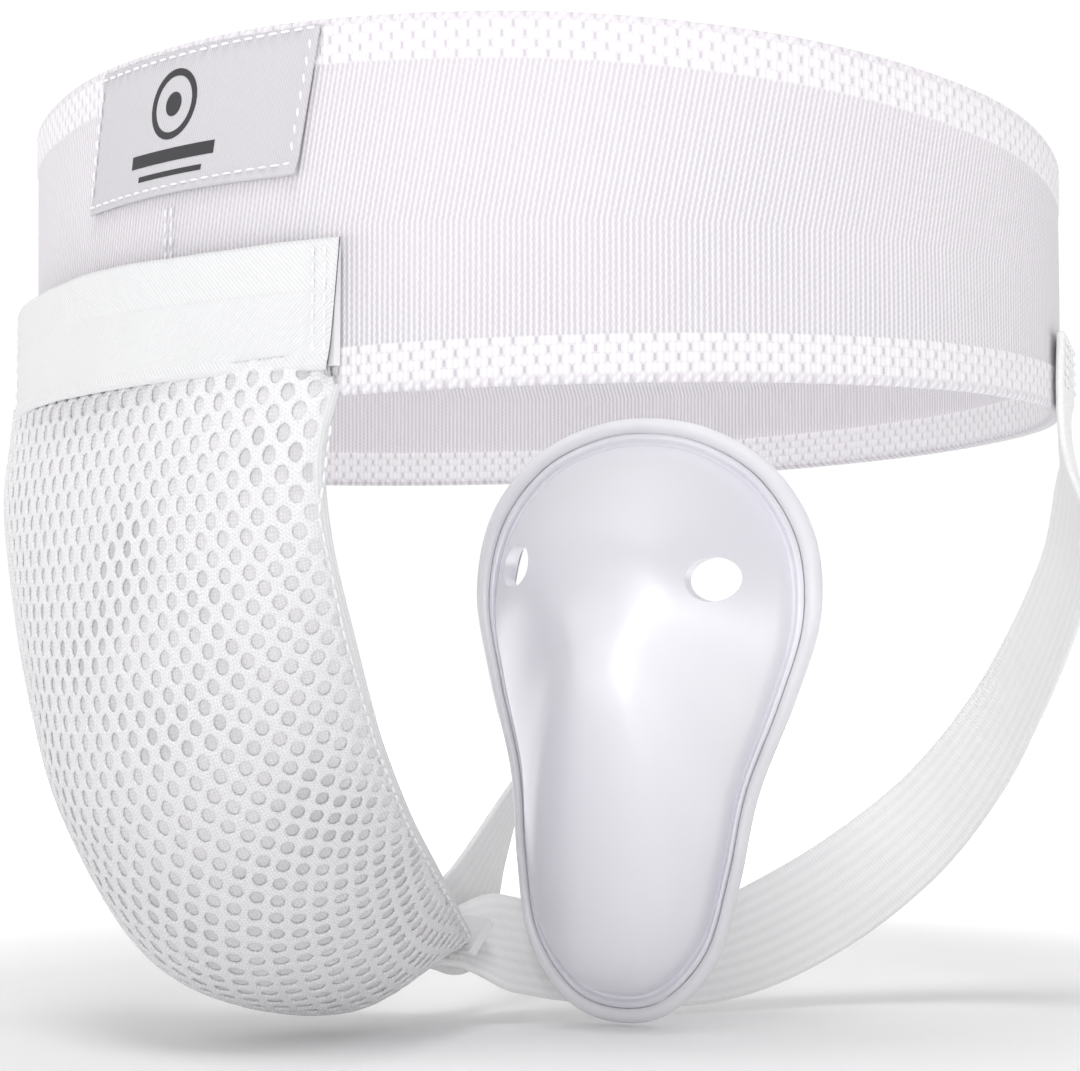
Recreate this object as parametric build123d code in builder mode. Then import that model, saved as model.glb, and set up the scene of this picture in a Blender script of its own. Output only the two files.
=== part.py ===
from build123d import *
from math import asin, cos, degrees, hypot, radians, sin, sqrt, tan
import os

# Groin protector: elastic waistband, cup pocket, two leg straps and a removable cup.
# The origin is the centre of the waist opening at half the band's front height. +Z is
# up, the front of the body faces -Y and the wearer's left is +X. Millimetres.

os.makedirs("parts", exist_ok=True)

# ---------------------------------------------------------------- driving dimensions
# Waistband: one loop of woven elastic, cut by two slightly tilted planes.
WAIST_HALF_WIDTH = 129.0
WAIST_HALF_DEPTH = 111.3
BAND_THICKNESS = 2.0
BAND_HEIGHT_FRONT = 75.0
BAND_TOP_FRONT = BAND_HEIGHT_FRONT / 2
BAND_BOTTOM_FRONT = -BAND_HEIGHT_FRONT / 2
BAND_TOP_DROP = 20.7        # the top edge is this much lower at the back
BAND_BOTTOM_RISE = 5.3      # the bottom edge is this much higher at the back

# Woven label and the join of the band below it, by angle from the front.
LABEL_ANGLE = 12.0
LABEL_WIDTH = 65.0
LABEL_HEIGHT = 29.0
LABEL_TOP_GAP = 1.6
LABEL_LEAN = 5.5            # the foot of the label is this much nearer the middle
LABEL_THICKNESS = 0.7
JOIN_ANGLE = 9.7
STITCH_LENGTH = 2.2
STITCH_PITCH = 3.0
ROW_SPACING = 1.8           # between two rows of stitches in one seam
THREAD = 0.45
SEWN_GAP = 0.1              # thread and label stand this far off the cloth
SEAM_MARGIN = 1.5           # from an edge to the row of stitches along it

# Trim along the mouth of the cup pocket.
TRIM_TOP = -7.5
TRIM_BOTTOM = -32.5
TRIM_HALF_CHORD = 66.0
TRIM_FRONT = 118.2          # how far the middle of the trim is in front of the origin
TRIM_RADIUS = 125.8
TRIM_THICKNESS = 1.8
TRIM_FOLD_START = 59.0      # the folded ends fill the wedge behind the trim, from here
TRIM_FOLD_END = 64.5        # to here across
TRIM_FOLD_SHORTER = 1.0     # at the top and at the bottom
TRIM_FOLD_GAP = 0.3
TRIM_STITCH_INSETS = (1.5, 4.0)

# Cup pocket. Each section is drawn across the side seams and out to the front:
# (half width, seam y, seam z, front y, front z, forward bow of the lining).
POCKET_SECTIONS = [
    (63.5, -97.5, -42.5, -117.4, -42.5, 11.5),
    (61.0, -98.5, -60.0, -118.0, -64.0, 7.0),
    (56.0, -89.0, -83.5, -117.5, -95.5, 3.0),
    (47.5, -76.0, -104.0, -111.5, -124.5, 1.5),
    (36.0, -60.0, -121.0, -90.5, -150.0, 1.2),
    (24.0, -43.0, -134.5, -57.0, -160.5, 1.0),
    (12.0, -26.5, -147.5, -30.5, -154.5, 0.8),
]
MESH_THICKNESS = 2.2
LINING_THICKNESS = 1.4
LINING_GAP = 0.3
TIP_TAPE_WIDTH = 22.0
TIP_TAPE_HEIGHT = 9.0
TIP_TAPE_THICKNESS = 2.0
TIP_TAPE_ROUNDING = 0.8
TIP_TAPE_CENTRE = (0, -23.6, -147.0)
TIP_TAPE_FACING = (0, 0.78, -0.62)

# Leg straps: flat elastic. Each stop is (x, y, z, lean of the width in x, y, z).
STRAP_WIDTH = 25.0
STRAP_THICKNESS = 1.6
STRAP_TAB_TOP = -18.0
LEFT_HIP_ANGLE = 121.0
RIGHT_HIP_ANGLE = -138.0
LEFT_STRAP_ROUTE = [
    (5, -17, -149, -0.4, 0.6, 0.65),
    (8, 9, -154, -0.45, 0.5, 0.7),
    (17, 38, -155, -0.45, 0.35, 0.8),
    (28, 62, -145, -0.35, 0.1, 0.9),
    (43, 80, -128, -0.5, 0.1, 0.85),
    (57, 88, -110, -0.7, 0.15, 0.65),
    (71, 90, -90, -0.85, 0.3, 0.4),
    (89, 84, -67, -0.85, 0.45, 0.2),
    (103, 71, -51, -0.75, 0.65, 0.1),
]
RIGHT_STRAP_ROUTE = [
    (-8, -15, -146, 0.2, -0.6, 0.75),
    (-17, 4, -127, 0.4, -0.2, 0.85),
    (-35, 31, -105, 0.55, 0.2, 0.75),
    (-56, 55, -83, 0.7, 0.35, 0.6),
    (-73, 72, -63, 0.76, 0.5, 0.36),
    (-83, 80, -47, 0.76, 0.6, 0.12),
]
STRAP_TAB_DROP = 1.0        # the strap leaves the band this far below its bottom edge
ZIGZAG_ROWS = 5
ZIGZAG_ROW_PITCH = 2.2
ZIGZAG_STITCHES = 8
ZIGZAG_SLANT = 35.0
ZIGZAG_MARGIN = 2.2

# Protective cup: a stiff domed shell with a flat flange and a soft edge trim.
CUP_CENTRE = (34.2, 2.4, -99.4)
CUP_FACING = 31.0           # turned from the front towards the wearer's left
CUP_LEAN = 4.9
CUP_NOD = 2.3
CUP_HALF_OUTLINE = [
    (0.0, -67.7), (12.0, -64.3), (22.0, -52.0), (26.3, -34.0), (29.3, -14.0),
    (36.0, 7.0), (40.5, 26.0), (38.0, 44.0), (28.0, 58.0), (14.0, 65.6), (0.0, 67.7),
]
CUP_HALF_WIDTH = 40.5
CUP_HALF_HEIGHT = 67.7
CUP_WALL = 2.4
CUP_FLANGE_THICKNESS = 2.4
CUP_TRIM_WIDTH = 3.4
CUP_TRIM_THICKNESS = 4.6
# Dome levels: (height above the flange, part of the width, lowest y, highest y).
CUP_LEVELS = [
    (0.0, 0.85, -61.5, 61.5),
    (7.0, 0.80, -59.0, 59.0),
    (15.0, 0.71, -49.0, 54.0),
    (23.0, 0.57, -26.0, 47.0),
    (29.0, 0.38, -4.0, 39.0),
    (31.5, 0.20, 8.0, 30.0),
]
VENT_DIAMETER = 9.5
VENT_HALF_SPACING = 22.5
VENT_HEIGHT = 33.0


# ---------------------------------------------------------------- shared helpers
def save(piece, name):
    """Label a finished piece and write it as one STEP file."""
    piece.part.label = name
    export_step(piece.part, f"parts/{name}.step")


def band_top(y):
    """Height of the band's top edge at a place from front to back."""
    return BAND_TOP_FRONT - BAND_TOP_DROP * (1 + y / WAIST_HALF_DEPTH) / 2


def band_bottom(y):
    """Height of the band's bottom edge at a place from front to back."""
    return BAND_BOTTOM_FRONT + BAND_BOTTOM_RISE * (1 + y / WAIST_HALF_DEPTH) / 2


def band_plane(angle, height, lift=0.0):
    """Plane on the band's outer face: x runs along the band and z points outwards."""
    turn = radians(angle)
    outward = Vector(sin(turn) / WAIST_HALF_WIDTH, -cos(turn) / WAIST_HALF_DEPTH).normalized()
    along = Vector(-outward.Y, outward.X)
    place = Vector(WAIST_HALF_WIDTH * sin(turn), -WAIST_HALF_DEPTH * cos(turn), height)
    return Plane(place + outward * lift, x_dir=along, z_dir=outward)


def turned(plane, angle):
    """The same plane with its x direction turned about its own normal."""
    turn = radians(angle)
    return Plane(
        plane.origin,
        x_dir=plane.x_dir * cos(turn) + plane.y_dir * sin(turn),
        z_dir=plane.z_dir,
    )


def band_angle_step(length):
    """Angle along the front of the band for a length of tape."""
    return degrees(length / WAIST_HALF_WIDTH)


def stitches(planes):
    """Short bars of thread, one on each plane, lying along the plane's x."""
    with BuildPart() as thread:
        for plane in planes:
            with BuildSketch(plane):
                Rectangle(STITCH_LENGTH, THREAD)
            extrude(amount=THREAD)
    return thread


# ---------------------------------------------------------------- waistband
def band_ring(inner_gap, outer_gap):
    """Upright elliptical wall between two distances outside the band's outer face."""
    with BuildPart() as ring:
        with BuildSketch(Plane.XY.offset(BAND_BOTTOM_FRONT)):
            Ellipse(WAIST_HALF_WIDTH + outer_gap, WAIST_HALF_DEPTH + outer_gap)
            Ellipse(WAIST_HALF_WIDTH + inner_gap, WAIST_HALF_DEPTH + inner_gap, mode=Mode.SUBTRACT)
        extrude(amount=BAND_HEIGHT_FRONT)
    return ring.part


def make_waistband():
    end = WAIST_HALF_DEPTH + BAND_THICKNESS
    with BuildPart() as band:
        add(band_ring(-BAND_THICKNESS, 0.0))
        with BuildSketch(Plane.YZ):
            with BuildLine():
                Polyline(
                    (-end, band_bottom(-end)),
                    (end, band_bottom(end)),
                    (end, band_top(end)),
                    (-end, band_top(-end)),
                    close=True,
                )
            make_face()
        extrude(amount=WAIST_HALF_WIDTH + BAND_THICKNESS, both=True, mode=Mode.INTERSECT)
    return band


def label_corner_x(across, up):
    """Place along the label, with its sides leaning."""
    return across * LABEL_WIDTH / 2 + up * LABEL_LEAN / 2


def label_height_middle():
    return BAND_TOP_FRONT - LABEL_TOP_GAP - LABEL_HEIGHT / 2


def make_label():
    corners = [(-1, -1), (1, -1), (1, 1), (-1, 1)]
    outline = [(label_corner_x(i, j), j * LABEL_HEIGHT / 2) for i, j in corners]
    with BuildPart() as label:
        add(band_ring(SEWN_GAP, SEWN_GAP + LABEL_THICKNESS))
        with BuildSketch(band_plane(LABEL_ANGLE, label_height_middle())):
            with BuildLine():
                Polyline(*outline, close=True)
            make_face()
        extrude(amount=LABEL_HEIGHT, both=True, mode=Mode.INTERSECT)
    return label


def label_stitch_planes():
    """Stitches round the label, just inside its edge."""
    lift = 2 * SEWN_GAP + LABEL_THICKNESS
    reach = LABEL_WIDTH / 2 - SEAM_MARGIN
    rise = LABEL_HEIGHT / 2 - SEAM_MARGIN
    planes = []
    count = int(2 * reach / STITCH_PITCH)
    for side in (-1, 1):
        for i in range(count + 1):
            across = -reach + i * 2 * reach / count
            angle = LABEL_ANGLE + band_angle_step(across + side * LABEL_LEAN / 2)
            planes.append(band_plane(angle, label_height_middle() + side * rise, lift))
    count = int(2 * rise / STITCH_PITCH)
    for side in (-1, 1):
        for i in range(1, count):
            up = -rise + i * 2 * rise / count
            lean = up / rise * LABEL_LEAN / 2
            angle = LABEL_ANGLE + band_angle_step(side * (reach + THREAD) + lean)
            plane = band_plane(angle, label_height_middle() + up, lift)
            planes.append(turned(plane, 90))
    return planes


def join_stitch_planes():
    """Two upright rows of stitches where the ends of the band are joined."""
    planes = []
    for side in (-1, 1):
        angle = JOIN_ANGLE + side * band_angle_step(ROW_SPACING / 2)
        height = BAND_BOTTOM_FRONT + SEAM_MARGIN
        while height < label_height_middle() - LABEL_HEIGHT / 2 - SEAM_MARGIN:
            planes.append(turned(band_plane(angle, height, SEWN_GAP), 90))
            height += STITCH_PITCH
    return planes


save(make_waistband(), "waistband_elastic")
save(make_label(), "woven_label")
save(stitches(label_stitch_planes()), "label_stitching")
save(stitches(join_stitch_planes()), "band_join_stitching")


# ---------------------------------------------------------------- pocket trim
TRIM_CENTRE_Y = TRIM_RADIUS - TRIM_FRONT
TRIM_HALF_ANGLE = degrees(asin(TRIM_HALF_CHORD / TRIM_RADIUS))


def trim_point(angle, radius):
    """Point on an arc about the trim's centre, by angle from the front."""
    turn = radians(angle)
    return (radius * sin(turn), TRIM_CENTRE_Y - radius * cos(turn))


def make_trim():
    """Folded tape over the front of the band, bowed forwards to leave the mouth open."""
    inner = TRIM_RADIUS - TRIM_THICKNESS
    half = TRIM_HALF_ANGLE
    with BuildPart() as trim:
        with BuildSketch(Plane.XY.offset(TRIM_BOTTOM)):
            with BuildLine():
                ThreePointArc(
                    trim_point(-half, TRIM_RADIUS),
                    trim_point(0, TRIM_RADIUS),
                    trim_point(half, TRIM_RADIUS),
                )
                Line(trim_point(half, TRIM_RADIUS), trim_point(half, inner))
                ThreePointArc(trim_point(half, inner), trim_point(0, inner), trim_point(-half, inner))
                Line(trim_point(-half, inner), trim_point(-half, TRIM_RADIUS))
            make_face()
        extrude(amount=TRIM_TOP - TRIM_BOTTOM)
    return trim


def trim_back_y(x):
    """Place from front to back of the trim's inner face."""
    return TRIM_CENTRE_Y - sqrt((TRIM_RADIUS - TRIM_THICKNESS) ** 2 - x * x)


def band_front_y(x):
    """Place from front to back of the band's outer face, on the front half."""
    return -WAIST_HALF_DEPTH * sqrt(1 - (x / WAIST_HALF_WIDTH) ** 2)


def make_trim_fold(side):
    """Folded tape end that holds one end of the trim to the band."""
    with BuildPart() as fold:
        with BuildSketch(Plane.XY.offset(TRIM_BOTTOM + TRIM_FOLD_SHORTER)):
            with BuildLine():
                Polyline(
                    (side * TRIM_FOLD_START, trim_back_y(TRIM_FOLD_START) + TRIM_FOLD_GAP),
                    (side * TRIM_FOLD_END, trim_back_y(TRIM_FOLD_END) + TRIM_FOLD_GAP),
                    (side * TRIM_FOLD_END, band_front_y(TRIM_FOLD_END) - TRIM_FOLD_GAP),
                    (side * TRIM_FOLD_START, band_front_y(TRIM_FOLD_START) - TRIM_FOLD_GAP),
                    close=True,
                )
            make_face()
        extrude(amount=TRIM_TOP - TRIM_BOTTOM - 2 * TRIM_FOLD_SHORTER)
    return fold


def trim_stitch_planes(side):
    """Two upright rows of stitches through the end of the trim."""
    planes = []
    for inset in TRIM_STITCH_INSETS:
        angle = side * (TRIM_HALF_ANGLE - degrees(inset / TRIM_RADIUS))
        turn = radians(angle)
        outward = Vector(sin(turn), -cos(turn))
        x, y = trim_point(angle, TRIM_RADIUS + SEWN_GAP)
        height = TRIM_BOTTOM + SEAM_MARGIN
        while height < TRIM_TOP - SEAM_MARGIN:
            along = Vector(-outward.Y, outward.X)
            plane = Plane(Vector(x, y, height), x_dir=along, z_dir=outward)
            planes.append(turned(plane, 90))
            height += STITCH_PITCH
    return planes


save(make_trim(), "pocket_trim")
for side, word in ((1, "left"), (-1, "right")):
    save(make_trim_fold(side), f"trim_end_fold_{word}")
    save(stitches(trim_stitch_planes(side)), f"trim_end_stitching_{word}")


# ---------------------------------------------------------------- cup pocket
def section_plane(section):
    """Plane across the pocket through both side seams and out to the front."""
    _, seam_y, seam_z, front_y, front_z, _ = section
    forward = Vector(0, front_y - seam_y, front_z - seam_z).normalized()
    return Plane(Vector(0, seam_y, seam_z), x_dir=Vector(1, 0, 0), z_dir=Vector(1, 0, 0).cross(forward))


def section_depth(section):
    _, seam_y, seam_z, front_y, front_z, _ = section
    return hypot(front_y - seam_y, front_z - seam_z)


def pocket_body(inset, behind):
    """Half-round body from behind the side seams to the front, made smaller by an inset."""
    with BuildPart() as body:
        for section in POCKET_SECTIONS:
            reach = section[0] - inset
            depth = section_depth(section) - inset
            with BuildSketch(section_plane(section)):
                with BuildLine():
                    EllipticalCenterArc((0, 0), reach, depth, start_angle=0, arc_size=180)
                    Polyline((-reach, 0), (-reach, -behind), (reach, -behind), (reach, 0))
                make_face()
        loft()
    return body.part


def make_front_mesh():
    """Spacer mesh panel: the body's front wall, open at the top and behind."""
    with BuildPart() as mesh:
        add(pocket_body(0.0, 0.1))
        add(pocket_body(MESH_THICKNESS, 5.0), mode=Mode.SUBTRACT)
    return mesh


def make_back_lining():
    """Soft panel between the side seams, bowed forwards at the band."""
    with BuildPart() as lining:
        for section in POCKET_SECTIONS:
            reach = section[0] - MESH_THICKNESS - LINING_GAP
            bow = section[5]
            with BuildSketch(section_plane(section)):
                with BuildLine():
                    ThreePointArc((-reach, 0), (0, bow), (reach, 0))
                    Line((reach, 0), (reach, LINING_THICKNESS))
                    ThreePointArc(
                        (reach, LINING_THICKNESS),
                        (0, bow + LINING_THICKNESS),
                        (-reach, LINING_THICKNESS),
                    )
                    Line((-reach, LINING_THICKNESS), (-reach, 0))
                make_face()
        loft()
    return lining


def seam_planes(side):
    """Stitches down one side seam, on the outside of the mesh."""
    planes = []
    points = [Vector(side * (s[0] + SEWN_GAP), s[1] - 1.2, s[2]) for s in POCKET_SECTIONS]
    for start, end in zip(points, points[1:]):
        run = end - start
        count = round(run.length / STITCH_PITCH)
        outward = Vector(side, 0, 0)
        outward = (outward - run * (outward.dot(run) / run.dot(run))).normalized()
        for i in range(count):
            place = start + run * ((i + 0.5) / count) + outward * 0.8
            planes.append(Plane(place, x_dir=run, z_dir=outward))
    return planes


def make_tip_tape():
    """Short folded tape that closes the tip and takes the leg straps."""
    with BuildPart() as tape:
        with BuildSketch(Plane(TIP_TAPE_CENTRE, x_dir=(1, 0, 0), z_dir=TIP_TAPE_FACING)):
            Rectangle(TIP_TAPE_WIDTH, TIP_TAPE_HEIGHT)
        extrude(amount=TIP_TAPE_THICKNESS)
        fillet(tape.edges().group_by(Edge.length)[0], TIP_TAPE_ROUNDING)
    return tape


save(make_front_mesh(), "pocket_front_mesh")
save(make_back_lining(), "pocket_back_lining")
save(stitches(seam_planes(1)), "pocket_seam_stitching_left")
save(stitches(seam_planes(-1)), "pocket_seam_stitching_right")
save(make_tip_tape(), "pocket_tip_tape")


# ---------------------------------------------------------------- leg straps
def hip_stops(angle):
    """The last two stops of a strap, flat on the outside of the band at the hip."""
    stops = []
    for height in (band_bottom(0) - STRAP_TAB_DROP, STRAP_TAB_TOP):
        plane = band_plane(angle, height, SEWN_GAP * 3 + STRAP_THICKNESS / 2)
        lean = plane.x_dir if angle > 0 else -plane.x_dir
        stops.append((*plane.origin, *lean))
    return stops


def make_strap(route, hip_angle):
    stops = route + hip_stops(hip_angle)
    places = [Vector(*stop[:3]) for stop in stops]
    path = Edge.make_spline(places)
    with BuildPart() as strap:
        for i, stop in enumerate(stops):
            along = path.tangent_at(path.param_at_point(places[i]))
            if i >= len(stops) - 2:
                along = Vector(0, 0, 1)
            across = Vector(*stop[3:])
            across = (across - along * across.dot(along)).normalized()
            with BuildSketch(Plane(places[i], x_dir=across, z_dir=along)):
                Rectangle(STRAP_WIDTH, STRAP_THICKNESS)
        loft(ruled=True)
    return strap


def hip_zigzag_planes(angle):
    """Zigzag stitches that hold the strap's end to the band."""
    planes = []
    lift = SEWN_GAP * 4 + STRAP_THICKNESS
    pitch = (STRAP_WIDTH - 2 * ZIGZAG_MARGIN) / (ZIGZAG_STITCHES - 1)
    for row in range(ZIGZAG_ROWS):
        height = STRAP_TAB_TOP - SEAM_MARGIN - row * ZIGZAG_ROW_PITCH
        face = band_plane(angle, height, lift)
        for i in range(ZIGZAG_STITCHES):
            across = -STRAP_WIDTH / 2 + ZIGZAG_MARGIN + i * pitch
            place = face.origin + face.x_dir * across
            plane = Plane(place, x_dir=face.x_dir, z_dir=face.z_dir)
            planes.append(turned(plane, ZIGZAG_SLANT if i % 2 else -ZIGZAG_SLANT))
    return planes


for word, route, angle in (
    ("left", LEFT_STRAP_ROUTE, LEFT_HIP_ANGLE),
    ("right", RIGHT_STRAP_ROUTE, RIGHT_HIP_ANGLE),
):
    save(make_strap(route, angle), f"leg_strap_{word}")
    save(stitches(hip_zigzag_planes(angle)), f"hip_stitching_{word}")


# ---------------------------------------------------------------- cup
CUP_ACROSS = Vector(cos(radians(CUP_FACING)), sin(radians(CUP_FACING)))
CUP_FORWARD = Vector(sin(radians(CUP_FACING)), -cos(radians(CUP_FACING)))
CUP_UP = Vector(0, 0, 1) + CUP_ACROSS * tan(radians(CUP_LEAN)) + CUP_FORWARD * tan(radians(CUP_NOD))
CUP_NORMAL = CUP_FORWARD - CUP_UP * CUP_FORWARD.dot(CUP_UP) * (1 / CUP_UP.dot(CUP_UP))
CUP_PLANE = Plane(CUP_CENTRE, x_dir=CUP_UP.cross(CUP_NORMAL), z_dir=CUP_NORMAL)


def cup_outline(inset=0.0):
    """Closed outline of the flange, moved in by an inset."""
    wide = (CUP_HALF_WIDTH - inset) / CUP_HALF_WIDTH
    tall = (CUP_HALF_HEIGHT - inset) / CUP_HALF_HEIGHT
    half = [(x * wide, y * tall) for x, y in CUP_HALF_OUTLINE]
    return half + [(-x, y) for x, y in reversed(half[1:-1])]


def level_outline(part_width, lowest, highest, inset=0.0):
    """Closed outline of the dome at one level, moved in by an inset."""
    wide = part_width - inset / CUP_HALF_WIDTH
    middle = (lowest + highest) / 2
    tall = (highest - lowest - 2 * inset) / (2 * CUP_HALF_HEIGHT)
    half = [(x * wide, middle + y * tall) for x, y in CUP_HALF_OUTLINE]
    return half + [(-x, y) for x, y in reversed(half[1:-1])]


def dome(inset, sink):
    """Solid dome through its level outlines, made smaller and sunk for the inside."""
    with BuildPart() as shape:
        for height, part_width, lowest, highest in CUP_LEVELS:
            with BuildSketch(CUP_PLANE.offset(height - sink)):
                with BuildLine():
                    Spline(*level_outline(part_width, lowest, highest, inset), periodic=True)
                make_face()
        loft()
    return shape.part


def make_cup_shell():
    with BuildPart() as shell:
        with BuildSketch(CUP_PLANE.offset(-CUP_FLANGE_THICKNESS)):
            with BuildLine():
                Spline(*cup_outline(CUP_TRIM_WIDTH), periodic=True)
            make_face()
        extrude(amount=CUP_FLANGE_THICKNESS)
        add(dome(0.0, 0.0))
        add(dome(CUP_WALL, CUP_WALL), mode=Mode.SUBTRACT)
        with BuildSketch(CUP_PLANE.offset(-2 * CUP_WALL)):
            with Locations((-VENT_HALF_SPACING, VENT_HEIGHT), (VENT_HALF_SPACING, VENT_HEIGHT)):
                Circle(VENT_DIAMETER / 2)
        extrude(amount=50, mode=Mode.SUBTRACT)
    return shell


def make_cup_trim():
    with BuildPart() as trim:
        with BuildSketch(CUP_PLANE.offset(-(CUP_FLANGE_THICKNESS + CUP_TRIM_THICKNESS) / 2)):
            with BuildLine():
                Spline(*cup_outline(), periodic=True)
            make_face()
            with BuildLine():
                Spline(*cup_outline(CUP_TRIM_WIDTH - SEWN_GAP), periodic=True)
            make_face(mode=Mode.SUBTRACT)
        extrude(amount=CUP_TRIM_THICKNESS)
    return trim


save(make_cup_shell(), "cup_shell")
save(make_cup_trim(), "cup_edge_trim")
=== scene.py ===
from math import atan2, cos, pi, radians, sin, sqrt, tan

import bmesh
import bpy
import numpy as np
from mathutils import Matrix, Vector


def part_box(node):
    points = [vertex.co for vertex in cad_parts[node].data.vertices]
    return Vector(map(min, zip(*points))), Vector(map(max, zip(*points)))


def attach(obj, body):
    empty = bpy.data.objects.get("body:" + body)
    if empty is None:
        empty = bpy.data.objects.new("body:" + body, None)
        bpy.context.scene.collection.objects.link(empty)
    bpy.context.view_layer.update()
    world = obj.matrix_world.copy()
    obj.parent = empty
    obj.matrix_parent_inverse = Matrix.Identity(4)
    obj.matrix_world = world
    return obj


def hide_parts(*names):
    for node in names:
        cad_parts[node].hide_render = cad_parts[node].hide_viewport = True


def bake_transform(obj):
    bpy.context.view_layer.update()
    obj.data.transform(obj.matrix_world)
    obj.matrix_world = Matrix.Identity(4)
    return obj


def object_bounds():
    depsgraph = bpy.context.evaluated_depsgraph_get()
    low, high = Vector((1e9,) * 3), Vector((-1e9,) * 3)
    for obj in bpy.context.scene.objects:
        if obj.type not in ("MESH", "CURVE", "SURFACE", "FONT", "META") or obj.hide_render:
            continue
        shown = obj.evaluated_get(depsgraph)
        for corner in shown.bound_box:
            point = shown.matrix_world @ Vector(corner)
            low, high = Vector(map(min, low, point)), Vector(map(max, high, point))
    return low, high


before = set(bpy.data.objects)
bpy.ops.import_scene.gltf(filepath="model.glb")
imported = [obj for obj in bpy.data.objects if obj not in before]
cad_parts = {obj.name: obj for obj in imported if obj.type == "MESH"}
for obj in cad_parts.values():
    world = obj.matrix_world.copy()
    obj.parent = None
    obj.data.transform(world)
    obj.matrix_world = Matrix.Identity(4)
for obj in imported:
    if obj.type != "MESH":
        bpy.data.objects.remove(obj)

# Looks for a groin protector: woven waistband, mesh cup pocket, leg straps and a loose cup.
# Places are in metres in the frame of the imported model. Patterns on the cloth, outlines and
# routes are in plain millimetres, and MM turns those into metres.
MM = 0.001
cad_low, cad_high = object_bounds()


# ---- camera
CAMERA_AZIMUTH = radians(52.0)  # where it stands, from the front towards the wearer's left
CAMERA_DISTANCE = 0.559
CAMERA_HEIGHT = -0.0945
CAMERA_AIM = radians(51.816)  # where it looks, turned in the same way
CAMERA_PITCH = radians(3.917)  # upwards
CAMERA_LENS = 79.39


def make_camera():
    data = bpy.data.cameras.new("camera")
    data.lens = CAMERA_LENS
    data.clip_start = 0.01
    camera = bpy.data.objects.new("camera", data)
    bpy.context.scene.collection.objects.link(camera)
    camera.location = (
        CAMERA_DISTANCE * sin(CAMERA_AZIMUTH),
        -CAMERA_DISTANCE * cos(CAMERA_AZIMUTH),
        CAMERA_HEIGHT,
    )
    level = cos(CAMERA_PITCH)
    forward = Vector((-sin(CAMERA_AIM) * level, cos(CAMERA_AIM) * level, sin(CAMERA_PITCH)))
    camera.rotation_mode = "QUATERNION"
    camera.rotation_quaternion = forward.to_track_quat("-Z", "Y")
    bpy.context.scene.camera = camera


make_camera()


# ---- mesh helpers
def smoothstep(low, high, value):
    t = np.clip((value - low) / (high - low), 0.0, 1.0)
    return t * t * (3 - 2 * t)


def unit(vectors):
    return vectors / np.linalg.norm(vectors, axis=-1, keepdims=True)


def through(points, parameters, closed=False):
    """Smooth curve through the points, where point i is at parameter i."""
    points = np.asarray(points, float)
    count = len(points)
    parameters = np.asarray(parameters, float)
    start = np.floor(parameters).astype(int)
    if not closed:
        start = np.clip(start, 0, count - 2)
    t = (parameters - start)[..., None]

    def at(index):
        if closed:
            return points[index % count]
        inside = points[np.clip(index, 0, count - 1)]
        before = 2 * points[0] - points[1]
        after = 2 * points[-1] - points[-2]
        inside = np.where((index < 0)[..., None], before, inside)
        return np.where((index > count - 1)[..., None], after, inside)

    a, b, c, d = at(start - 1), at(start), at(start + 1), at(start + 2)
    return 0.5 * (2 * b + (c - a) * t + (2 * a - 5 * b + 4 * c - d) * t**2
                  + (3 * b - a - 3 * c + d) * t**3)


def arc_lengths(path):
    steps = np.linalg.norm(np.diff(path, axis=0), axis=1)
    return np.concatenate([[0.0], np.cumsum(steps)])


def evenly(path, count):
    """The same path, resampled at equal steps of length."""
    lengths = arc_lengths(path)
    wanted = np.linspace(0.0, lengths[-1], count)
    return np.stack([np.interp(wanted, lengths, path[:, k]) for k in range(path.shape[1])], axis=1)


def add_mesh(name, points, faces, uv=None):
    """Mesh object from numpy points and faces; uv gives one pair for each face corner."""
    mesh = bpy.data.meshes.new(name)
    mesh.from_pydata(np.asarray(points, float).reshape(-1, 3).tolist(), [], faces)
    if uv is not None:
        layer = mesh.uv_layers.new(name="UVMap")
        layer.data.foreach_set("uv", np.asarray(uv, np.float32).ravel())
    mesh.shade_smooth()
    thing = bpy.data.objects.new(name, mesh)
    bpy.context.scene.collection.objects.link(thing)
    return thing


def face_outwards(thing):
    """Turns the faces of a closed mesh outwards."""
    mesh = bmesh.new()
    mesh.from_mesh(thing.data)
    bmesh.ops.recalc_face_normals(mesh, faces=mesh.faces[:])
    mesh.to_mesh(thing.data)
    mesh.free()
    return thing


def grid(points, u, v, wrap_rows=False, wrap_columns=False):
    """Faces and corner uvs of a grid of points[row, column]; u is by column and v by row."""
    rows, columns = points.shape[:2]
    row = np.arange(rows if wrap_rows else rows - 1)[:, None]
    column = np.arange(columns if wrap_columns else columns - 1)[None, :]
    corners = [(row, column), (row, column + 1), (row + 1, column + 1), (row + 1, column)]
    faces = np.stack([(r % rows) * columns + (c % columns) + 0 * row + 0 * column
                      for r, c in corners], axis=-1)
    u = np.append(u, 2 * u[-1] - u[-2]) if wrap_columns else np.asarray(u)
    v = np.append(v, v[0]) if wrap_rows else np.asarray(v)
    uv = np.stack([np.stack(np.broadcast_arrays(u[c], v[r]), axis=-1) for r, c in corners], axis=-2)
    return faces.reshape(-1, 4).tolist(), uv.reshape(-1, 2)


def add_grid(name, points, u, v, **wraps):
    faces, uv = grid(points, u, v, **wraps)
    return add_mesh(name, points, faces, uv)


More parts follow.
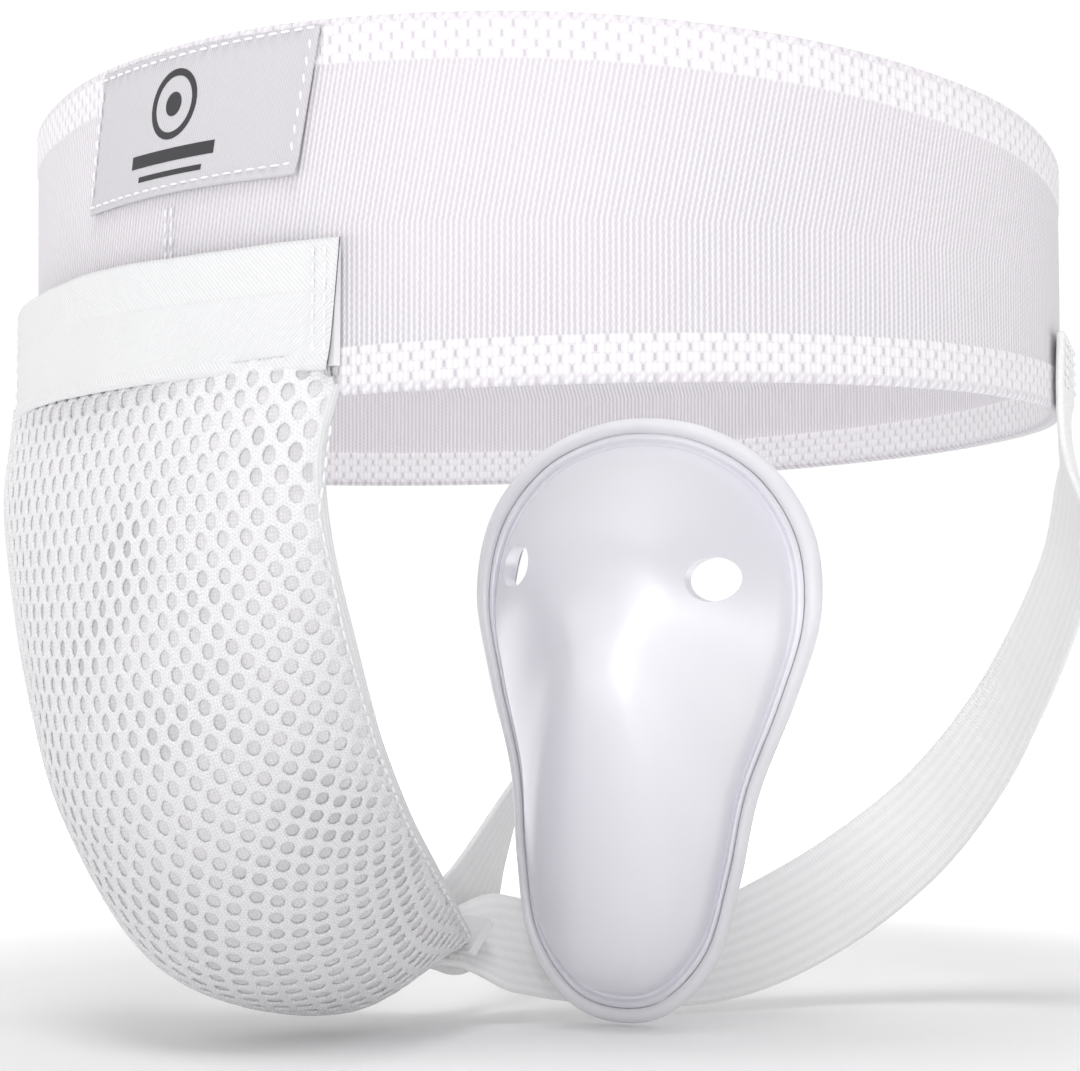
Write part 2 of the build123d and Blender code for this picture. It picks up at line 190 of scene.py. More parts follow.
def weld(thing, distance=0.001 * MM):
    """Joins points that lie together and removes faces that have collapsed."""
    mesh = bmesh.new()
    mesh.from_mesh(thing.data)
    bmesh.ops.remove_doubles(mesh, verts=mesh.verts[:], dist=distance)
    bmesh.ops.dissolve_degenerate(mesh, edges=mesh.edges[:], dist=distance)
    mesh.to_mesh(thing.data)
    mesh.free()
    return thing


def slab(name, front, back, u, v):
    """Closed sheet between a front and a back grid of points."""
    around = np.concatenate([front, back[:, ::-1]], axis=1)
    middle = (front + back) / 2
    ends = [np.concatenate([middle[i], middle[i, ::-1]])[None] for i in (0, -1)]
    points = np.concatenate([ends[0], around, ends[1]])
    rows = np.concatenate([v[:1], v, v[-1:]])
    u_around = np.concatenate([u, u[::-1]])
    return face_outwards(weld(add_grid(name, points, u_around, rows, wrap_columns=True)))


def ribbon_loop(width, thickness, ribs, rib_height, per_rib=6, edge_steps=4):
    """Closed section of a flat band as (across, out) pairs, with rounded edges and ribs."""
    half = width / 2 - thickness / 2
    flat = np.linspace(-half, half, ribs * per_rib + 1)
    swell = rib_height * np.abs(np.sin(pi * ribs * (flat + half) / (2 * half)))
    front = np.stack([flat, thickness / 2 + swell], axis=1)
    turn = np.linspace(pi / 2, -pi / 2, edge_steps + 2)[1:-1]
    right = np.stack([half + thickness / 2 * np.cos(turn), thickness / 2 * np.sin(turn)], axis=1)
    return np.concatenate([front, right, -front, -right])


def swept(name, path, across, out, loop, width=1.0):
    """Mesh of a closed section moved along a path, with its ends closed."""
    section = np.asarray(loop)
    width = np.broadcast_to(width, len(path))[:, None, None]
    points = (path[:, None, :] + width * across[:, None, :] * section[None, :, 0, None]
              + out[:, None, :] * section[None, :, 1, None])
    rows, columns = points.shape[:2]
    steps = np.linalg.norm(np.diff(np.vstack([section, section[:1]]), axis=0), axis=1)
    u = np.concatenate([[0.0], np.cumsum(steps)])[:-1] / MM
    faces, uv = grid(points, u, arc_lengths(path) / MM, wrap_columns=True)
    flat = np.concatenate([points.reshape(-1, 3), path[:1], path[-1:]])
    for ring, centre in ((0, rows * columns), (rows - 1, rows * columns + 1)):
        for i in range(columns):
            faces.append([centre, ring * columns + i, ring * columns + (i + 1) % columns])
    uv = np.concatenate([uv, np.zeros((columns * 2 * 3, 2))])
    return face_outwards(add_mesh(name, flat, faces, uv))


# ---- material helpers
class Cloth:
    """A material under construction. Inputs are numbers, colours or other nodes' outputs."""

    def __init__(self, name, roughness, **constants):
        self.material = bpy.data.materials.new(name)
        self.material.use_nodes = True
        self.tree = self.material.node_tree
        self.shader = self.tree.nodes["Principled BSDF"]
        self.shader.inputs["Roughness"].default_value = roughness
        for socket, value in constants.items():
            self.shader.inputs[socket.replace("_", " ")].default_value = value

    def put(self, socket, value):
        if isinstance(value, bpy.types.NodeSocket):
            self.tree.links.new(value, socket)
        else:
            socket.default_value = value

    def node(self, kind, inputs, **settings):
        made = self.tree.nodes.new(kind)
        for key, value in settings.items():
            setattr(made, key, value)
        for key, value in inputs.items():
            self.put(made.inputs[key], value)
        return made

    def math(self, operation, first, second=0.0):
        return self.node("ShaderNodeMath", {0: first, 1: second}, operation=operation).outputs[0]

    def plus(self, first, second):
        return self.math("ADD", first, second)

    def minus(self, first, second):
        return self.math("SUBTRACT", first, second)

    def times(self, first, second):
        return self.math("MULTIPLY", first, second)

    def wave(self, value, period):
        """From 0 in the grooves to 1 on the crests, once in each period."""
        turned = self.math("COSINE", self.times(value, 2 * pi / period))
        return self.remap(turned, -1.0, 1.0)

    def remap(self, value, low, high, to_low=0.0, to_high=1.0):
        inputs = {"Value": value, "From Min": low, "From Max": high, "To Min": to_low, "To Max": to_high}
        return self.node("ShaderNodeMapRange", inputs).outputs[0]

    def uv(self):
        layer = self.node("ShaderNodeUVMap", {}, uv_map="UVMap")
        split = self.node("ShaderNodeSeparateXYZ", {0: layer.outputs[0]})
        return split.outputs[0], split.outputs[1]

    def place(self):
        return self.node("ShaderNodeTexCoord", {}).outputs["Object"]

    def noise(self, scale, detail=3.0):
        inputs = {"Vector": self.place(), "Scale": scale, "Detail": detail}
        return self.node("ShaderNodeTexNoise", inputs).outputs[0]

    def mix(self, factor, first, second):
        made = self.node("ShaderNodeMix", {0: factor}, data_type="RGBA")
        self.put(made.inputs[6], first)
        self.put(made.inputs[7], second)
        return made.outputs[2]

    def finish(self, colour, height=None, depth=0.0):
        self.put(self.shader.inputs["Base Color"], colour)
        if height is not None:
            bump = self.node("ShaderNodeBump", {"Height": height, "Distance": depth, "Strength": 1.0})
            self.put(self.shader.inputs["Normal"], bump.outputs[0])
        return self.material


def grey(level, blue=0.0, red=0.0):
    return (level + red, level, level + blue, 1.0)


# ---- waistband
band_low, band_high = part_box("waistband_elastic")
HALF_WIDTH = band_high.x
HALF_DEPTH = band_high.y
BAND_HEIGHT = (band_high.z - band_low.z) / MM
BAND_THICKNESS = 2.0
BAND_ROUNDING = 0.3  # depth at which the rounded edges begin
BAND_EDGE = 0.8  # the flat faces end this far from the edges
RIB_PITCH = 1.1  # along the band
STITCH_PITCH = 1.6  # up a rib
LEAN_START = 33.0  # the ribs lean only above this height
RIB_LEAN = 0.17
BORDER = 9.4  # height of the basket-woven borders
BLOCK_WIDTH = 4.4
BLOCK_HEIGHT = 1.88
BLOCK_RELIEF = 0.34 * MM
PICOT_PITCH = 2.2  # slanted gaps along the very edges
PICOT_LEAN = 0.7
BAND_RIPPLE = 0.25 * MM
BAND_COLUMNS = 1800
BAND_MIDDLE_ROWS = 26
ROWS_PER_BLOCK = 4
BAND_CREST = grey(0.81, 0.018, 0.012)
# painted shade: colour given to the grooves between ribs and blocks
BAND_GROOVE_SHADE = grey(0.53, 0.05, 0.035)
BAND_TINT = grey(0.74, 0.045, 0.045)


def rear_edges():
    """Heights of the band's bottom and top edges at the back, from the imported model."""
    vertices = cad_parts["waistband_elastic"].data.vertices
    heights = [v.co.z for v in vertices if v.co.y > HALF_DEPTH - 0.5 * MM]
    return min(heights), max(heights)


REAR_BOTTOM, REAR_TOP = rear_edges()


def edge_height(front, rear, y):
    return front + (rear - front) * (1 + y / HALF_DEPTH) / 2


def band_point(angle, lift=0.0):
    """Point and outward direction on the band's outer face, by ellipse angle from the front."""
    outward = unit(np.stack([np.sin(angle) / HALF_WIDTH, -np.cos(angle) / HALF_DEPTH], axis=-1))
    place = np.stack([HALF_WIDTH * np.sin(angle), -HALF_DEPTH * np.cos(angle)], axis=-1)
    return place + outward * np.asarray(lift)[..., None], outward


ring_angles = np.linspace(-pi, pi, 7201)
ring_arcs = arc_lengths(band_point(ring_angles)[0])
ring_arcs -= ring_arcs[len(ring_arcs) // 2]
BAND_LENGTH = ring_arcs[-1] - ring_arcs[0]


def angle_at(arc):
    """Ellipse angle at a distance along the band from the middle of the front."""
    return np.interp(arc, ring_arcs, ring_angles)


def band_height_at(above, y):
    """Height of a place that is so many millimetres above the bottom edge of the band."""
    bottom = edge_height(band_low.z, REAR_BOTTOM, y)
    top = edge_height(band_high.z, REAR_TOP, y)
    lower = bottom + above * MM
    upper = top - (BAND_HEIGHT - above) * MM
    share = (above - BORDER) / (BAND_HEIGHT - 2 * BORDER)
    middle = (bottom + BORDER * MM) * (1 - share) + (top - BORDER * MM) * share
    return np.where(above <= BORDER, lower, np.where(above >= BAND_HEIGHT - BORDER, upper, middle))


def block_relief(along, above):
    """Raised blocks of the border, staggered from row to row, from 0 to 1."""
    from_edge = np.minimum(above, BAND_HEIGHT - above)
    row = np.floor(above / BLOCK_HEIGHT)
    shift = np.where(row % 2 == 0, BLOCK_WIDTH / 2, 0.0)
    x = ((along + shift) / BLOCK_WIDTH) % 1.0
    y = (above / BLOCK_HEIGHT) % 1.0
    rounded = (1 - np.abs(2 * x - 1) ** 5) * (1 - 0.45 * np.abs(2 * y - 1) ** 2.5)
    return rounded * (1 - smoothstep(BORDER - 0.6, BORDER, from_edge))


def make_band():
    """Woven loop with rounded edges and raised border blocks on both faces."""
    border_rows = int(round(BORDER / BLOCK_HEIGHT)) * ROWS_PER_BLOCK
    above = np.concatenate([
        np.linspace(BAND_EDGE, BORDER, border_rows, endpoint=False),
        np.linspace(BORDER, BAND_HEIGHT - BORDER, BAND_MIDDLE_ROWS, endpoint=False),
        np.linspace(BAND_HEIGHT - BORDER, BAND_HEIGHT - BAND_EDGE, border_rows + 1),
    ])
    from_edge = np.array([0.25, 0.0, 0.25])
    inward = np.array([BAND_ROUNDING, BAND_THICKNESS / 2, BAND_THICKNESS - BAND_ROUNDING])
    heights = np.concatenate([above, BAND_HEIGHT - from_edge, above[::-1], from_edge])
    count = len(above)
    depths = np.concatenate([np.zeros(count), inward, np.full(count, BAND_THICKNESS), inward[::-1]])
    facing = np.concatenate([np.ones(count), np.zeros(3), -np.ones(count), np.zeros(3)])

    arc = np.linspace(-BAND_LENGTH / 2, BAND_LENGTH / 2, BAND_COLUMNS, endpoint=False)
    angle = angle_at(arc)[None, :]
    relief = block_relief(arc[None, :] / MM, heights[:, None]) * BLOCK_RELIEF
    ripple = BAND_RIPPLE * np.sin(11 * angle + 0.05 * heights[:, None]) * np.sin(3 * angle)
    sunk = depths * MM + BLOCK_RELIEF * np.abs(facing)
    lift = facing[:, None] * relief - sunk[:, None] + ripple
    place, _ = band_point(np.broadcast_to(angle, lift.shape), lift)
    z = band_height_at(heights[:, None], place[..., 1])
    points = np.concatenate([place, z[..., None]], axis=-1)
    return add_grid("waistband", points, arc / MM, heights, wrap_rows=True, wrap_columns=True)


def border_blocks(cloth, along, above):
    """Woven blocks of the borders, with painted shade: dark gaps at the ends of each block, faint dark
    lines between rows.
    """
    row = cloth.math("FLOOR", cloth.math("DIVIDE", above, BLOCK_HEIGHT))
    shift = cloth.times(cloth.math("MODULO", row, 2.0), BLOCK_WIDTH / 2)
    across = cloth.math("DIVIDE", cloth.minus(along, shift), BLOCK_WIDTH)
    ends = cloth.math("PINGPONG", across, 0.5)
    rows = cloth.math("PINGPONG", cloth.math("DIVIDE", above, BLOCK_HEIGHT), 0.5)
    gap = cloth.math("MAXIMUM", cloth.remap(ends, 0.02, 0.09), cloth.remap(rows, 0.3, 0.1, 0.0, 0.75))
    line = cloth.remap(rows, 0.02, 0.16, 0.82, 1.0)
    yarn = cloth.remap(cloth.wave(along, RIB_PITCH), 0.0, 1.0, 0.72, 1.0)
    return cloth.times(cloth.times(gap, line), yarn)


def band_material():
    """Stitched ribs, and woven blocks along the borders; lower places of the weave get a darker colour,
    as painted shade in the grooves and gaps.
    """
    cloth = Cloth("woven elastic", 0.78, Sheen_Weight=0.25, Sheen_Roughness=0.5)
    along, above = cloth.uv()
    risen = cloth.math("MAXIMUM", cloth.minus(above, LEAN_START), 0.0)
    ribs_at = cloth.minus(along, cloth.times(risen, RIB_LEAN))
    rib = cloth.wave(ribs_at, RIB_PITCH)
    number = cloth.math("FLOOR", cloth.math("DIVIDE", ribs_at, RIB_PITCH))
    stagger = cloth.times(cloth.math("MODULO", number, 2.0), STITCH_PITCH / 2)
    stitch = cloth.wave(cloth.plus(above, stagger), STITCH_PITCH)
    paired = cloth.remap(cloth.wave(ribs_at, 2 * RIB_PITCH), 0, 1, 0.82, 1.0)
    stitched = cloth.times(paired, cloth.remap(stitch, 0, 1, 0.55, 1.0))
    ribbed = cloth.times(rib, stitched)

    from_edge = cloth.math("MINIMUM", above, cloth.minus(BAND_HEIGHT, above))
    border = cloth.remap(from_edge, BORDER - 0.3, BORDER + 0.1, 1.0, 0.0)
    blocks = cloth.times(border_blocks(cloth, along, above), border)
    ribs = cloth.times(ribbed, cloth.minus(1.0, border))
    height = cloth.plus(blocks, ribs)
    slanted = cloth.minus(along, cloth.times(above, PICOT_LEAN))
    at_edge = cloth.remap(from_edge, 1.5, 1.9, 1.0, 0.0)
    picot = cloth.times(cloth.wave(slanted, PICOT_PITCH), at_edge)
    height = cloth.times(height, cloth.remap(picot, 0, 1, 1.0, 0.55))

    light = cloth.minus(height, cloth.times(border, 0.22))
    # painted shade: the lower the weave, the nearer its colour is to the groove shade
    shade = cloth.mix(cloth.remap(light, 0.05, 0.7), BAND_GROOVE_SHADE, BAND_CREST)
    patches = cloth.remap(cloth.noise(14.0), 0.3, 0.7, 0.0, 0.35)
    return cloth.finish(cloth.mix(patches, shade, BAND_TINT), height, 0.22 * MM)


# ---- thread
THREAD_LENGTH = 2.3 * MM
THREAD_RADIUS = 0.3 * MM
THREAD_SIDES = 6
THREAD_ARCH = 0.22 * MM  # how far the middle of a stitch stands above its ends
THREAD_SINK = 0.2 * MM
SAME_CORNER = 0.01 * MM  # corners closer than this are one corner


def loose_bars(node):
    """Centre and length direction of each bar of thread in a CAD node."""
    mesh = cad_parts[node].data
    corner = np.array([v.co for v in mesh.vertices], float)
    rounded = np.round(corner / SAME_CORNER).astype(int)
    keys, index = np.unique(rounded, axis=0, return_inverse=True)
    parent = np.arange(len(keys))

    def root(i):
        while parent[i] != i:
            i = parent[i]
        return i

    for edge in mesh.edges:
        a, b = root(index[edge.vertices[0]]), root(index[edge.vertices[1]])
        parent[max(a, b)] = min(a, b)
    groups = {}
    for i in range(len(keys)):
        groups.setdefault(root(i), []).append(keys[i] * SAME_CORNER)
    bars = []
    for corners in groups.values():
        corners = np.array(corners)
        centre = corners.mean(axis=0)
        _, _, axes = np.linalg.svd(corners - centre)
        bars.append((centre, axes[0]))
    return bars


def thread_from(name, node, outward):
    """Rounded stitches in the places of a CAD node's bars, arching off the cloth."""
    steps = np.linspace(-1, 1, 7)
    sides = np.arange(THREAD_SIDES)
    points, faces = [], []
    for centre, along in loose_bars(node):
        out = outward(centre)
        out = unit(out - along * (out @ along))
        across = np.cross(along, out)
        base = len(points)
        for s in steps:
            thick = THREAD_RADIUS * sqrt(max(1 - s**4, 0.02))
            rise = THREAD_ARCH * (1 - s * s) - THREAD_SINK
            middle = centre + along * s * THREAD_LENGTH / 2 + out * rise
            for a in sides * 2 * pi / THREAD_SIDES:
                points.append(middle + thick * (cos(a) * across + sin(a) * out))
        rings = [base + ring * THREAD_SIDES + sides for ring in range(len(steps))]
        for ring, after in zip(rings, rings[1:]):
            faces += np.stack([ring, np.roll(ring, -1), np.roll(after, -1), after], axis=1).tolist()
        faces += [rings[0][::-1].tolist(), rings[-1].tolist()]
    return face_outwards(add_mesh(name, points, faces))


def thread_material():
    cloth = Cloth("polyester thread", 0.5, Sheen_Weight=0.2)
    twist = cloth.noise(900.0, 1.0)
    return cloth.finish(cloth.mix(twist, grey(0.74, 0.02), grey(0.9, 0.01)), twist, 0.05 * MM)


# Each from_ function gives the outward direction of a piece near a point on it.
def from_band(point):
    return unit(np.array([point[0] / HALF_WIDTH**2, point[1] / HALF_DEPTH**2, 0.0]))


# ---- woven label
LABEL_ARC = 27.0 * MM  # middle of the label along the band
LABEL_WIDTH = 65.0 * MM
LABEL_HEIGHT = 29.0 * MM
LABEL_TOP_GAP = 1.6 * MM
LABEL_LEAN = 5.5 * MM  # how far its top is shifted from its bottom
LABEL_THICKNESS = 0.55 * MM
LABEL_GAP = 0.15 * MM  # between the label and the band
LABEL_ROUNDING = 0.45 * MM
EMBLEM = (-4.0, 3.6)  # middle of the ring on the label
INK_LIFT = 0.12 * MM
INK_DEPTH = 0.12 * MM


def on_label(across, up, lift):
    """Place on the label from its middle; the sides lean and two edges stand a little off."""
    arc = LABEL_ARC + across + up / LABEL_HEIGHT * LABEL_LEAN
    right = smoothstep(LABEL_WIDTH * 0.40, LABEL_WIDTH * 0.5, across)
    low = smoothstep(LABEL_HEIGHT * 0.36, LABEL_HEIGHT * 0.5, -up)
    buckle = 0.25 * MM * np.sin(across / (4.6 * MM)) * (0.3 + 0.7 * low)
    place, _ = band_point(angle_at(arc), lift + 0.55 * MM * right + 0.35 * MM * low + buckle * right)
    z = band_high.z - LABEL_TOP_GAP - LABEL_HEIGHT / 2 + up
    top = edge_height(band_high.z, REAR_TOP, place[..., 1]) - band_high.z
    return np.concatenate([place, (z + top)[..., None]], axis=-1)


def make_label():
    """Thin slab on the band whose front is rounded towards its four edges."""
    across = np.linspace(-LABEL_WIDTH / 2, LABEL_WIDTH / 2, 131)
    up = np.linspace(-LABEL_HEIGHT / 2, LABEL_HEIGHT / 2, 61)
    wide = np.concatenate([across[:1], across, across[-1:]])
    heights = np.concatenate([up[:1], up, up[-1:], up[::-1]])
    front = np.concatenate([[0], np.ones(len(up)), np.zeros(len(up) + 1)])[:, None]
    fold = np.concatenate([[1], np.zeros(len(up)), [1], np.zeros(len(up))])[:, None]
    from_sides = LABEL_WIDTH / 2 - np.abs(wide)[None, :]
    from_ends = LABEL_HEIGHT / 2 - np.abs(heights)[:, None]
    rounded = 0.45 + 0.55 * smoothstep(0.0, LABEL_ROUNDING, np.minimum(from_sides, from_ends))
    lift = front * LABEL_THICKNESS * rounded + fold * 0.1 * MM
    lift[:, [0, -1]] = 0.05 * MM
    points = on_label(wide + 0 * lift, heights[:, None] + 0 * lift, lift + LABEL_GAP)
    return weld(add_grid("woven_label_cloth", points, wide / MM, heights / MM, wrap_rows=True))


def label_material():
    cloth = Cloth("satin label", 0.34, Sheen_Weight=0.3, Sheen_Roughness=0.35)
    across, up = cloth.uv()
    twill = cloth.wave(cloth.plus(across, cloth.times(up, 0.55)), 0.62)
    share = cloth.times(twill, 0.8)
    colour = cloth.mix(share, grey(0.51, 0.03, 0.015), grey(0.62, 0.03, 0.015))
    fine = cloth.times(cloth.noise(260.0), 0.4)
    return cloth.finish(colour, cloth.plus(twill, fine), 0.05 * MM)


def patch(name, outline, *holes):
    """Raised flat shape on the label, from outlines in millimetres, filled and laid on it."""
    mesh = bmesh.new()
    for ring in [outline, *holes]:
        verts = [mesh.verts.new((x, y, 0.0)) for x, y in ring]
        for i, vert in enumerate(verts):
            mesh.edges.new((vert, verts[(i + 1) % len(verts)]))
    bmesh.ops.triangle_fill(mesh, edges=mesh.edges[:], use_beauty=True, use_dissolve=False)
    found = bmesh.ops.extrude_face_region(mesh, geom=mesh.faces[:])
    for item in found["geom"]:
        if isinstance(item, bmesh.types.BMVert):
            item.co.z = 1.0
    bmesh.ops.recalc_face_normals(mesh, faces=mesh.faces[:])
    flat = np.array([v.co for v in mesh.verts])
    lift = LABEL_THICKNESS + INK_LIFT + flat[:, 2] * INK_DEPTH
    placed = on_label(flat[:, 0] * MM, flat[:, 1] * MM, lift)
    for vert, place in zip(mesh.verts, placed):
        vert.co = place
    data = bpy.data.meshes.new(name)
    mesh.to_mesh(data)
    mesh.free()
    made = bpy.data.objects.new(name, data)
    bpy.context.scene.collection.objects.link(made)
    return dress(made, INK, "thread", "waistband")


def circle(x, y, radius, count=64):
    turn = np.arange(count) * 2 * pi / count
    return [(x + radius * cos(a), y + radius * sin(a)) for a in turn]


def bar(x, y, width, height, steps=24):
    along = np.linspace(-width / 2, width / 2, steps)
    return [(x + a, y - height / 2) for a in along] + [(x + a, y + height / 2) for a in along[::-1]]


# ---- pocket trim
trim_low, trim_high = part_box("pocket_trim")
TRIM_RADIUS = 125.8 * MM
TRIM_CENTRE_Y = trim_low.y + TRIM_RADIUS
TRIM_HALF_TURN = atan2(trim_high.x, sqrt(TRIM_RADIUS**2 - trim_high.x**2))
TRIM_THICKNESS = 1.5 * MM
TRIM_SINK = 0.2 * MM
TRIM_LEAN = 0.09  # the tape's ends slope by this share of its height


def trim_ripple(u, v):
    """Slack towards the tape's flared foot, and a wavy top edge."""
    slack = 0.22 * MM * np.sin(9 * u + 5 * v) * np.sin(17 * u - 3 * v) * (1 - v)
    wavy_top = 0.15 * MM * np.sin(23 * u + 2) * smoothstep(0.6, 1.0, v)
    foot = 0.7 * MM * smoothstep(0.25, 0.0, v)
    return slack + wavy_top + foot


def make_trim():
    """Herringbone tape with hems at its ends and cords along its top and bottom."""
    height = trim_high.z - trim_low.z
    up = np.linspace(0.0, 1.0, 41)
    turn = np.linspace(-TRIM_HALF_TURN, TRIM_HALF_TURN, 301)
    u = (turn / TRIM_HALF_TURN)[None, :]
    v = np.concatenate([up, up[::-1]])[:, None]
    side = np.repeat([1.0, -1.0], len(up))[:, None]
    rolled = np.sqrt(np.clip(1 - np.abs(2 * v - 1) ** 24, 0, 1))
    closing = np.sqrt(np.clip(1 - np.abs(u) ** 160, 0, 1))
    thick = TRIM_THICKNESS / 2 * rolled * closing
    hem = 0.35 * MM * smoothstep(0.92, 0.94, np.abs(u))
    low_cord = 0.3 * MM * np.exp(-((v - 0.05) / 0.035) ** 2)
    high_cord = 0.2 * MM * np.exp(-((v - 0.96) / 0.03) ** 2)
    radius = TRIM_RADIUS - TRIM_THICKNESS / 2 - TRIM_SINK + side * thick + trim_ripple(u, v)
    radius = radius + np.where(side > 0, hem + low_cord + high_cord, -0.3 * hem)
    angle = turn[None, :] + TRIM_LEAN * height * (v - 0.5) / TRIM_RADIUS
    points = np.stack([
        radius * np.sin(angle),
        TRIM_CENTRE_Y - radius * np.cos(angle),
        trim_low.z + height * v + 0.35 * MM * np.sin(7 * u + 1) * (v - 0.3),
    ], axis=-1)
    along, upward = turn * TRIM_RADIUS / MM, v[:, 0] * height / MM
    return weld(add_grid("pocket_trim_tape", points, along, upward, wrap_rows=True))


def trim_material():
    cloth = Cloth("herringbone tape", 0.62, Sheen_Weight=0.35, Sheen_Roughness=0.4)
    along, up = cloth.uv()
    panel = cloth.wave(cloth.plus(up, 3.0), 24.0)
    slope = cloth.remap(cloth.math("GREATER_THAN", panel, 0.5), 0, 1, -1.0, 1.0)
    twill = cloth.wave(cloth.plus(along, cloth.times(up, slope)), 0.95)
    weave = cloth.noise(420.0)
    height = cloth.plus(twill, cloth.times(weave, 0.3))
    soft = cloth.remap(cloth.noise(18.0), 0.3, 0.7, 0.0, 0.3)
    colour = cloth.mix(twill, grey(0.67, 0.012), grey(0.78, 0.008))
    return cloth.finish(cloth.mix(soft, colour, grey(0.69, 0.02)), height, 0.07 * MM)


# ---- cup pocket
# The pocket's front is half an ellipse across, from one side seam round to the other.
# Each list runs from the band down to the tip, in millimetres.
SEAM_LINE = [  # (x, y, z) of the wearer's left side seam
    (64.0, -97.5, -35.0), (62.5, -100.0, -49.0), (60.5, -97.0, -65.0), (56.0, -88.5, -84.0),
    (48.0, -77.0, -102.5), (37.0, -61.5, -119.5), (25.0, -44.5, -133.5), (11.5, -26.5, -148.0),
]
FRONT_LINE = [  # (y, z) of the middle of the front
    (-116.0, -38.0), (-118.2, -62.0), (-118.2, -94.0), (-113.0, -123.5),
    (-93.0, -153.0), (-55.5, -163.0), (-27.0, -151.0),
]
TUCK = 7.5  # length of mesh hidden behind the trim
TUCK_ROWS = 12
SEAM_RISE = np.array([-0.25, -0.05, 1.0]) * MM  # up the seam behind the trim, as x, y and z
FRONT_RISE = np.array([0.06, 0.995]) * MM  # up the middle there, as y and z
CELL_ACROSS = 5.5  # spacing of the holes in a row
CELL_DOWN = 3.85  # from a row to the next, staggered one
HOLE_ACROSS = 1.42  # half sizes of a hole
HOLE_DOWN = 1.78
MESH_DEPTH = 0.6 * MM
FLAT_EDGE = 0.4  # share of its depth that the mesh keeps at the side seams
BACKING_THICKNESS = 0.35 * MM
BACKING_HALF_WIDTH = 70.0
LINING_THICKNESS = 1.1 * MM
LINING_HALF_WIDTH = 62.0
LINING_INSET = 1.6 * MM
# How far the lining bows forwards: share of the way down, and millimetres.
LINING_BOW = [(0.0, 14.5), (0.06, 12.5), (0.15, 8.0), (0.35, 3.5), (0.6, 1.5), (1.0, 0.8)]
SEAM_HALF_WIDTH = 0.75 * MM
SEAM_HALF_DEPTH = 1.5 * MM
SEAM_BACK = 0.4 * MM
SEAM_INSET = 0.55 * MM
SURFACE_ROWS = 361
SURFACE_COLUMNS = 241


def pocket_lines(rows):
    """Side seam and front line, matched from the bottom of the trim to the tip."""
    fine = np.linspace(0, len(SEAM_LINE) - 1, 800)
    seam = evenly(through(SEAM_LINE, fine), rows) * MM
    front = through(FRONT_LINE, np.linspace(0.0, 1.0, rows) * (len(FRONT_LINE) - 1)) * MM
    return seam, front


def pocket_surface():
    """Rows of points, equally spaced across the front, with half their girth and length down."""
    seam, front = pocket_lines(SURFACE_ROWS)
    top_seam = seam[0] + SEAM_RISE * np.linspace(6.0, 0.5, TUCK_ROWS)[:, None]
    top_front = front[0] + FRONT_RISE * np.linspace(TUCK, 0.5, TUCK_ROWS)[:, None]
    seam = np.concatenate([top_seam, seam])
    front = np.concatenate([top_front, front])
    turn = np.linspace(-pi / 2, pi / 2, 721)
    table, girth = [], []
    for edge, middle in zip(seam, front):
        y = edge[1] + (middle[0] - edge[1]) * np.cos(turn)
        z = edge[2] + (middle[1] - edge[2]) * np.cos(turn)
        row = np.stack([edge[0] * np.sin(turn), y, z], axis=1)
        girth.append(arc_lengths(row)[-1] / 2)
        table.append(evenly(row, SURFACE_COLUMNS))
    down = arc_lengths(front) - TUCK * MM
    return np.array(table), np.array(girth), down


POCKET, GIRTH, DOWN = pocket_surface()


def pocket_normals():
    down = np.gradient(POCKET, axis=0)
    across = np.gradient(POCKET, axis=1)
    normal = np.cross(down, across)
    normal[:, 0] = normal[:, 1]
    normal[:, -1] = normal[:, -2]
    return unit(normal)


POCKET_NORMAL = pocket_normals()


def on_pocket(across, down, lift):
    """Points of the pocket's front at lengths across and down the cloth, lifted off it."""
    row = np.clip(np.interp(down, DOWN, np.arange(len(DOWN))), 0, len(DOWN) - 1.001)
    girth = np.interp(down, DOWN, GIRTH)
    share = np.clip(across / girth, -1, 1)
    column = np.clip((share + 1) / 2 * (SURFACE_COLUMNS - 1), 0, SURFACE_COLUMNS - 1.001)
    i, j = row.astype(int), column.astype(int)
    a, b = (row - i)[..., None], (column - j)[..., None]

    def between(table):
        return ((table[i, j] * (1 - b) + table[i, j + 1] * b) * (1 - a)
                + (table[i + 1, j] * (1 - b) + table[i + 1, j + 1] * b) * a)

    return between(POCKET) + unit(between(POCKET_NORMAL)) * np.asarray(lift)[..., None]


def hexagon():
    """Boundary points of one cell of the mesh, shared with its neighbours."""
    side = CELL_DOWN / 2 - CELL_ACROSS**2 / (8 * CELL_DOWN)
    tip = (CELL_ACROSS**2 / 4 + CELL_DOWN**2) / (2 * CELL_DOWN)
    corners = [(CELL_ACROSS / 2, -side), (CELL_ACROSS / 2, side), (0, tip),
               (-CELL_ACROSS / 2, side), (-CELL_ACROSS / 2, -side), (0, -tip)]
    points = []
    for i, start in enumerate(corners):
        end = corners[(i + 1) % 6]
        parts = 2 if start[0] == end[0] else 3
        for k in range(parts):
            t = k / parts
            points.append((start[0] + (end[0] - start[0]) * t, start[1] + (end[1] - start[1]) * t))
    return np.array(points)


def cell_rings():
    """Outlines of one cell with their lifts, from its border into its hole and back behind."""
    edge = hexagon()
    direction = unit(edge)
    size = np.hypot(direction[:, 0] / HOLE_ACROSS, direction[:, 1] / HOLE_DOWN)
    hole = direction / size[:, None]
    return [
        (edge, 0.0),
        (edge * 0.5 + hole * 0.5, 0.03 * MM),
        (hole * 1.13, -0.05 * MM),
        (hole * 1.02, -0.2 * MM),
        (hole * 0.98, -MESH_DEPTH),
        (edge, -MESH_DEPTH),
    ]


def half_girth(down):
    return np.interp(down * MM, DOWN, GIRTH) / MM


